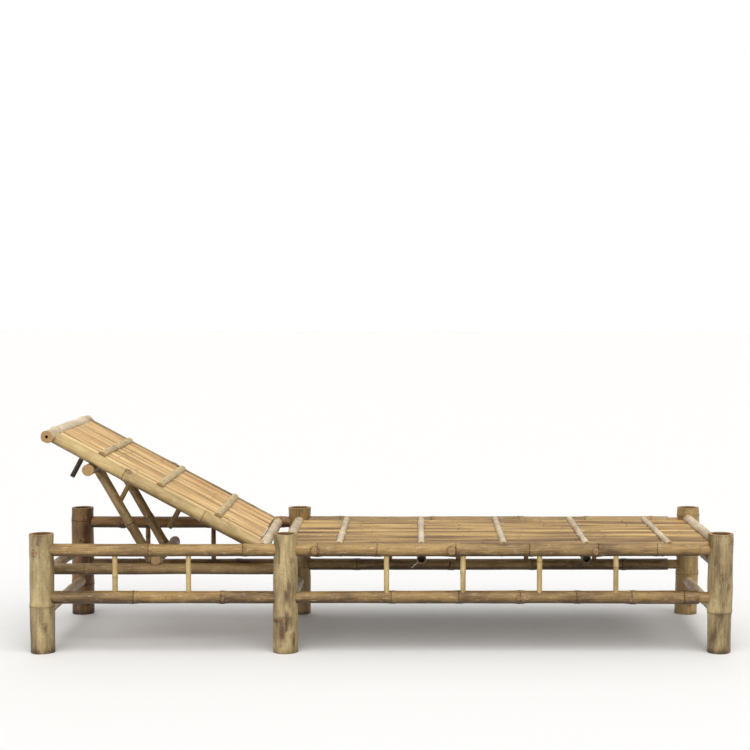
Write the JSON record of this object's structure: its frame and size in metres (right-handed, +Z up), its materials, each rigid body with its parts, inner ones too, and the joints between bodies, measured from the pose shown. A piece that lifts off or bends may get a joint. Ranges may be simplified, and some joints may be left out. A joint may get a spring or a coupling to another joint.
{
  "type": "bamboo sun lounger",
  "caption": "Low bamboo sun lounger: slatted culm seat on a leg and rail frame, with a hinged backrest held up by a swinging prop.",
  "frame": {"origin": "on the floor, in the middle of the outline of the legs", "axes": "+X along the length towards the foot end, +Y across to the far side, +Z up"},
  "size_m": [2, 0.65, 0.6345],
  "materials": {
    "leg_culm": "satin bamboo rind, weathered",
    "rail_culm": "satin bamboo rind, honey coloured",
    "cross_culm": "satin bamboo rind",
    "pale_culm": "satin bamboo rind, bleached",
    "prop_culm": "satin bamboo rind",
    "spindle_cane": "satin cane",
    "board_bamboo": "matt flattened bamboo, fibrous",
    "split_batten": "satin split bamboo, bleached",
    "peg_wood": "matt whittled bamboo",
    "binding_wire": "dull annealed wire",
    "nail_steel": "dark oxidised steel"
  },
  "bodies": {
    "frame": {"foot_leg_far": "leg_culm", "foot_leg_near": "leg_culm", "foot_low_cross": "cross_culm", "foot_seat_cross": "pale_culm", "foot_under_cross": "cross_culm", "head_inner_cross": "cross_culm", "head_leg_far": "leg_culm", "head_leg_near": "leg_culm", "head_low_cross": "cross_culm", "hinge_pins": "peg_wood", "inner_rail_far": "rail_culm", "inner_rail_near": "rail_culm", "low_rail_head_far": "rail_culm", "low_rail_head_near": "rail_culm", "low_rail_seat_far": "rail_culm", "low_rail_seat_near": "rail_culm", "mid_inner_cross": "cross_culm", "mid_leg_far": "leg_culm", "mid_leg_near": "leg_culm", "mid_low_cross": "cross_culm", "mid_seat_cross": "pale_culm", "mid_under_cross": "cross_culm", "seat_batten_1": "split_batten", "seat_batten_2": "split_batten", "seat_batten_3": "split_batten", "seat_batten_4": "split_batten", "seat_batten_5": "split_batten", "seat_bearers": "cross_culm", "seat_board_1": "board_bamboo", "seat_board_2": "board_bamboo", "seat_board_3": "board_bamboo", "seat_board_4": "board_bamboo", "seat_board_5": "board_bamboo", "seat_board_6": "board_bamboo", "spindles_far": "spindle_cane", "spindles_near": "spindle_cane", "top_rail_head_far": "rail_culm", "top_rail_head_near": "rail_culm", "top_rail_seat_far": "rail_culm", "top_rail_seat_near": "rail_culm", "under_poles": "cross_culm", "wire_ties": "binding_wire"},
    "backrest": {"hinge_pole": "pale_culm", "head_rail": "pale_culm", "back_rail_near": "rail_culm", "back_rail_far": "rail_culm", "under_battens": "cross_culm", "prop_pegs": "peg_wood", "back_board_1": "board_bamboo", "back_board_2": "board_bamboo", "back_board_3": "board_bamboo", "back_board_4": "board_bamboo", "back_batten_1": "split_batten", "back_batten_2": "split_batten", "back_batten_3": "split_batten", "batten_nails": "nail_steel"},
    "prop": {"prop_lower_bar": "prop_culm", "prop_crossbar": "prop_culm", "prop_leg_near": "prop_culm", "prop_leg_far": "prop_culm"}
  },
  "joints": [
    {"name": "backrest_hinge", "type": "hinge", "parent": "frame", "child": "backrest", "pos_m": [-0.341, 0, 0.293], "axis": [0, 1, 0], "range_deg": [0, 50]},
    {"name": "prop_hinge", "type": "hinge", "parent": "frame", "child": "prop", "pos_m": [-0.655, 0, 0.2468], "axis": [0, 1, 0], "range_deg": [0, 35]}
  ],
  "couplings": [
    {"joint": "prop_hinge", "follows": "backrest_hinge", "ratio": 0.7}
  ]
}
